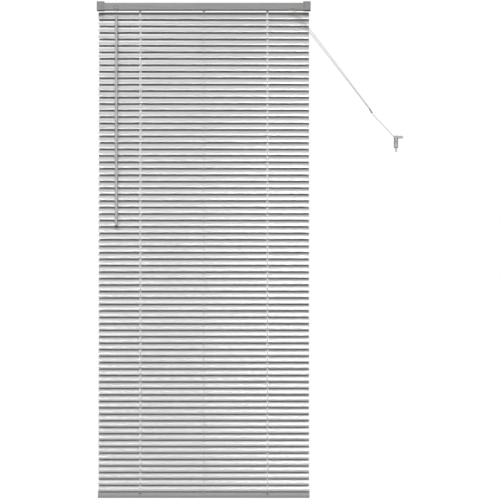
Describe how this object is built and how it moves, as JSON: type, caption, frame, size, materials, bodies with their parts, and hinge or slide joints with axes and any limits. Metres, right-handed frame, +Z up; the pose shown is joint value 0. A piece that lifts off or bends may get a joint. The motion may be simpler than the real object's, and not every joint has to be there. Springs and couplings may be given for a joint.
{
  "type": "venetian blind",
  "caption": "Nearly closed aluminium venetian blind on a box-bracketed headrail, with a hexagonal tilt wand, ladder cords, a bottom rail and pull cords led to a wall cleat.",
  "frame": {"origin": "middle of the four wall-screw holes in the two end brackets, on the wall plane", "axes": "+X along the headrail to the cord side, +Y into the wall, +Z up"},
  "size_m": [1.0184, 0.0383, 1.6501],
  "materials": {
    "slat": "satin silver-grey stove enamel",
    "rail_paint": "satin silver-grey paint",
    "bracket_paint": "satin grey paint",
    "steel": "zinc-plated steel",
    "nylon": "natural nylon",
    "grey_plastic": "moulded grey plastic",
    "lock_plastic": "moulded grey-green plastic",
    "dark_plastic": "dark plastic",
    "wand_plastic": "clear grey plastic",
    "cord": "braided polyester cord"
  },
  "bodies": {
    "frame": {"headrail": "rail_paint", "headrail_end_caps": "grey_plastic", "ladder_guides": "nylon", "bracket_left": "bracket_paint", "bracket_right": "bracket_paint", "drum_cradles": "nylon", "tilter_housing": "grey_plastic", "cord_lock": "lock_plastic", "slats_between": "slat", "ladder_rungs": "cord", "lift_cords": "cord", "lift_cord_ends": "cord", "pull_cord_a": "cord", "pull_cord_b": "cord", "pull_cord_tail": "cord", "cord_connector": "dark_plastic", "cord_cleat": "wand_plastic", "cleat_screw": "steel", "cord_tassel": "wand_plastic"},
    "tilt_rod": {"tilt_rod": "steel", "ladder_drums": "nylon", "tilter_gear": "nylon"},
    "worm": {"tilter_worm": "grey_plastic"},
    "wand_link": {"wand_hook": "steel"},
    "wand": {"wand": "wand_plastic", "wand_cap": "wand_plastic", "wand_tip": "dark_plastic"},
    "gate_left": {"gate_left": "bracket_paint"},
    "gate_right": {"gate_right": "bracket_paint"},
    "lock_roller": {"lock_roller": "steel"},
    "ladder_front": {"ladder_front": "cord"},
    "ladder_rear": {"ladder_rear": "cord"},
    "bottom_rail": {"bottom_rail": "rail_paint", "bottom_rail_caps": "grey_plastic", "bottom_rail_plugs": "dark_plastic"},
    "slat_02": {"slat_02": "slat"},
    "slat_05": {"slat_05": "slat"},
    "slat_08": {"slat_08": "slat"},
    "slat_11": {"slat_11": "slat"},
    "slat_14": {"slat_14": "slat"},
    "slat_17": {"slat_17": "slat"},
    "slat_20": {"slat_20": "slat"},
    "slat_23": {"slat_23": "slat"},
    "slat_26": {"slat_26": "slat"},
    "slat_29": {"slat_29": "slat"},
    "slat_32": {"slat_32": "slat"},
    "slat_35": {"slat_35": "slat"},
    "slat_38": {"slat_38": "slat"},
    "slat_41": {"slat_41": "slat"},
    "slat_44": {"slat_44": "slat"},
    "slat_47": {"slat_47": "slat"},
    "slat_50": {"slat_50": "slat"},
    "slat_53": {"slat_53": "slat"},
    "slat_56": {"slat_56": "slat"},
    "slat_59": {"slat_59": "slat"},
    "slat_62": {"slat_62": "slat"},
    "slat_65": {"slat_65": "slat"},
    "slat_68": {"slat_68": "slat"},
    "slat_71": {"slat_71": "slat"},
    "slat_74": {"slat_74": "slat"}
  },
  "joints": [
    {"name": "rod_turn", "type": "hinge", "parent": "frame", "child": "tilt_rod", "pos_m": [0, -0.0155, -0.002], "axis": [-1, 0, 0], "range_deg": [0, 240], "deforming": ["ladder_rungs"]},
    {"name": "worm_spin", "type": "hinge", "parent": "frame", "child": "worm", "pos_m": [-0.29, -0.02295, 0.0023], "axis": [0, -0.5, -0.866], "range_deg": [0, 2880]},
    {"name": "link_spin", "type": "hinge", "parent": "frame", "child": "wand_link", "pos_m": [-0.29, -0.034, -0.01684], "axis": [0, 0, -1], "range_deg": [0, 2880]},
    {"name": "wand_swing", "type": "hinge", "parent": "wand_link", "child": "wand", "pos_m": [-0.29, -0.034, -0.03184], "axis": [-1, 0, 0], "range_deg": [0, 60]},
    {"name": "gate_left_open", "type": "hinge", "parent": "frame", "child": "gate_left", "pos_m": [-0.3529, -0.0296, 0], "axis": [0, 0, -1], "range_deg": [0, 100]},
    {"name": "gate_right_open", "type": "hinge", "parent": "frame", "child": "gate_right", "pos_m": [0.3529, -0.0296, 0], "axis": [0, 0, 1], "range_deg": [0, 100]},
    {"name": "lock_release", "type": "slide", "parent": "frame", "child": "lock_roller", "axis": [0, 0, 1], "range_m": [-0.0009, 0.0009]},
    {"name": "ladder_front_rise", "type": "slide", "parent": "frame", "child": "ladder_front", "axis": [0, 0, 1], "range_m": [0, 0.0223], "deforming": ["ladder_front"]},
    {"name": "ladder_rear_drop", "type": "slide", "parent": "frame", "child": "ladder_rear", "axis": [0, 0, -1], "range_m": [0, 0.0223], "deforming": ["ladder_rear"]},
    {"name": "rail_tilt", "type": "hinge", "parent": "frame", "child": "bottom_rail", "pos_m": [0, -0.0155, -1.6225], "axis": [-1, 0, 0], "range_deg": [0, 125], "deforming": ["lift_cord_ends"]},
    {"name": "slat_02_tilt", "type": "hinge", "parent": "frame", "child": "slat_02", "pos_m": [0, -0.0155, -0.053], "axis": [-1, 0, 0], "range_deg": [0, 125]},
    {"name": "slat_05_tilt", "type": "hinge", "parent": "frame", "child": "slat_05", "pos_m": [0, -0.0155, -0.1175], "axis": [-1, 0, 0], "range_deg": [0, 125]},
    {"name": "slat_08_tilt", "type": "hinge", "parent": "frame", "child": "slat_08", "pos_m": [0, -0.0155, -0.182], "axis": [-1, 0, 0], "range_deg": [0, 125]},
    {"name": "slat_11_tilt", "type": "hinge", "parent": "frame", "child": "slat_11", "pos_m": [0, -0.0155, -0.2465], "axis": [-1, 0, 0], "range_deg": [0, 125]},
    {"name": "slat_14_tilt", "type": "hinge", "parent": "frame", "child": "slat_14", "pos_m": [0, -0.0155, -0.311], "axis": [-1, 0, 0], "range_deg": [0, 125]},
    {"name": "slat_17_tilt", "type": "hinge", "parent": "frame", "child": "slat_17", "pos_m": [0, -0.0155, -0.3755], "axis": [-1, 0, 0], "range_deg": [0, 125]},
    {"name": "slat_20_tilt", "type": "hinge", "parent": "frame", "child": "slat_20", "pos_m": [0, -0.0155, -0.44], "axis": [-1, 0, 0], "range_deg": [0, 125]},
    {"name": "slat_23_tilt", "type": "hinge", "parent": "frame", "child": "slat_23", "pos_m": [0, -0.0155, -0.5045], "axis": [-1, 0, 0], "range_deg": [0, 125]},
    {"name": "slat_26_tilt", "type": "hinge", "parent": "frame", "child": "slat_26", "pos_m": [0, -0.0155, -0.569], "axis": [-1, 0, 0], "range_deg": [0, 125]},
    {"name": "slat_29_tilt", "type": "hinge", "parent": "frame", "child": "slat_29", "pos_m": [0, -0.0155, -0.6335], "axis": [-1, 0, 0], "range_deg": [0, 125]},
    {"name": "slat_32_tilt", "type": "hinge", "parent": "frame", "child": "slat_32", "pos_m": [0, -0.0155, -0.698], "axis": [-1, 0, 0], "range_deg": [0, 125]},
    {"name": "slat_35_tilt", "type": "hinge", "parent": "frame", "child": "slat_35", "pos_m": [0, -0.0155, -0.7625], "axis": [-1, 0, 0], "range_deg": [0, 125]},
    {"name": "slat_38_tilt", "type": "hinge", "parent": "frame", "child": "slat_38", "pos_m": [0, -0.0155, -0.827], "axis": [-1, 0, 0], "range_deg": [0, 125]},
    {"name": "slat_41_tilt", "type": "hinge", "parent": "frame", "child": "slat_41", "pos_m": [0, -0.0155, -0.8915], "axis": [-1, 0, 0], "range_deg": [0, 125]},
    {"name": "slat_44_tilt", "type": "hinge", "parent": "frame", "child": "slat_44", "pos_m": [0, -0.0155, -0.956], "axis": [-1, 0, 0], "range_deg": [0, 125]},
    {"name": "slat_47_tilt", "type": "hinge", "parent": "frame", "child": "slat_47", "pos_m": [0, -0.0155, -1.0205], "axis": [-1, 0, 0], "range_deg": [0, 125]},
    {"name": "slat_50_tilt", "type": "hinge", "parent": "frame", "child": "slat_50", "pos_m": [0, -0.0155, -1.085], "axis": [-1, 0, 0], "range_deg": [0, 125]},
    {"name": "slat_53_tilt", "type": "hinge", "parent": "frame", "child": "slat_53", "pos_m": [0, -0.0155, -1.1495], "axis": [-1, 0, 0], "range_deg": [0, 125]},
    {"name": "slat_56_tilt", "type": "hinge", "parent": "frame", "child": "slat_56", "pos_m": [0, -0.0155, -1.214], "axis": [-1, 0, 0], "range_deg": [0, 125]},
    {"name": "slat_59_tilt", "type": "hinge", "parent": "frame", "child": "slat_59", "pos_m": [0, -0.0155, -1.2785], "axis": [-1, 0, 0], "range_deg": [0, 125]},
    {"name": "slat_62_tilt", "type": "hinge", "parent": "frame", "child": "slat_62", "pos_m": [0, -0.0155, -1.343], "axis": [-1, 0, 0], "range_deg": [0, 125]},
    {"name": "slat_65_tilt", "type": "hinge", "parent": "frame", "child": "slat_65", "pos_m": [0, -0.0155, -1.4075], "axis": [-1, 0, 0], "range_deg": [0, 125]},
    {"name": "slat_68_tilt", "type": "hinge", "parent": "frame", "child": "slat_68", "pos_m": [0, -0.0155, -1.472], "axis": [-1, 0, 0], "range_deg": [0, 125]},
    {"name": "slat_71_tilt", "type": "hinge", "parent": "frame", "child": "slat_71", "pos_m": [0, -0.0155, -1.5365], "axis": [-1, 0, 0], "range_deg": [0, 125]},
    {"name": "slat_74_tilt", "type": "hinge", "parent": "frame", "child": "slat_74", "pos_m": [0, -0.0155, -1.601], "axis": [-1, 0, 0], "range_deg": [0, 125]}
  ],
  "couplings": [
    {"joint": "worm_spin", "follows": "rod_turn", "ratio": 12},
    {"joint": "link_spin", "follows": "rod_turn", "ratio": 12},
    {"joint": "ladder_front_rise", "follows": "rod_turn", "m_per_rad": 0.0053},
    {"joint": "ladder_rear_drop", "follows": "rod_turn", "m_per_rad": 0.0053},
    {"joint": "rail_tilt", "follows": "rod_turn", "ratio": 0.52083},
    {"joint": "slat_02_tilt", "follows": "rod_turn", "ratio": 0.52083},
    {"joint": "slat_05_tilt", "follows": "rod_turn", "ratio": 0.52083},
    {"joint": "slat_08_tilt", "follows": "rod_turn", "ratio": 0.52083},
    {"joint": "slat_11_tilt", "follows": "rod_turn", "ratio": 0.52083},
    {"joint": "slat_14_tilt", "follows": "rod_turn", "ratio": 0.52083},
    {"joint": "slat_17_tilt", "follows": "rod_turn", "ratio": 0.52083},
    {"joint": "slat_20_tilt", "follows": "rod_turn", "ratio": 0.52083},
    {"joint": "slat_23_tilt", "follows": "rod_turn", "ratio": 0.52083},
    {"joint": "slat_26_tilt", "follows": "rod_turn", "ratio": 0.52083},
    {"joint": "slat_29_tilt", "follows": "rod_turn", "ratio": 0.52083},
    {"joint": "slat_32_tilt", "follows": "rod_turn", "ratio": 0.52083},
    {"joint": "slat_35_tilt", "follows": "rod_turn", "ratio": 0.52083},
    {"joint": "slat_38_tilt", "follows": "rod_turn", "ratio": 0.52083},
    {"joint": "slat_41_tilt", "follows": "rod_turn", "ratio": 0.52083},
    {"joint": "slat_44_tilt", "follows": "rod_turn", "ratio": 0.52083},
    {"joint": "slat_47_tilt", "follows": "rod_turn", "ratio": 0.52083},
    {"joint": "slat_50_tilt", "follows": "rod_turn", "ratio": 0.52083},
    {"joint": "slat_53_tilt", "follows": "rod_turn", "ratio": 0.52083},
    {"joint": "slat_56_tilt", "follows": "rod_turn", "ratio": 0.52083},
    {"joint": "slat_59_tilt", "follows": "rod_turn", "ratio": 0.52083},
    {"joint": "slat_62_tilt", "follows": "rod_turn", "ratio": 0.52083},
    {"joint": "slat_65_tilt", "follows": "rod_turn", "ratio": 0.52083},
    {"joint": "slat_68_tilt", "follows": "rod_turn", "ratio": 0.52083},
    {"joint": "slat_71_tilt", "follows": "rod_turn", "ratio": 0.52083},
    {"joint": "slat_74_tilt", "follows": "rod_turn", "ratio": 0.52083}
  ]
}
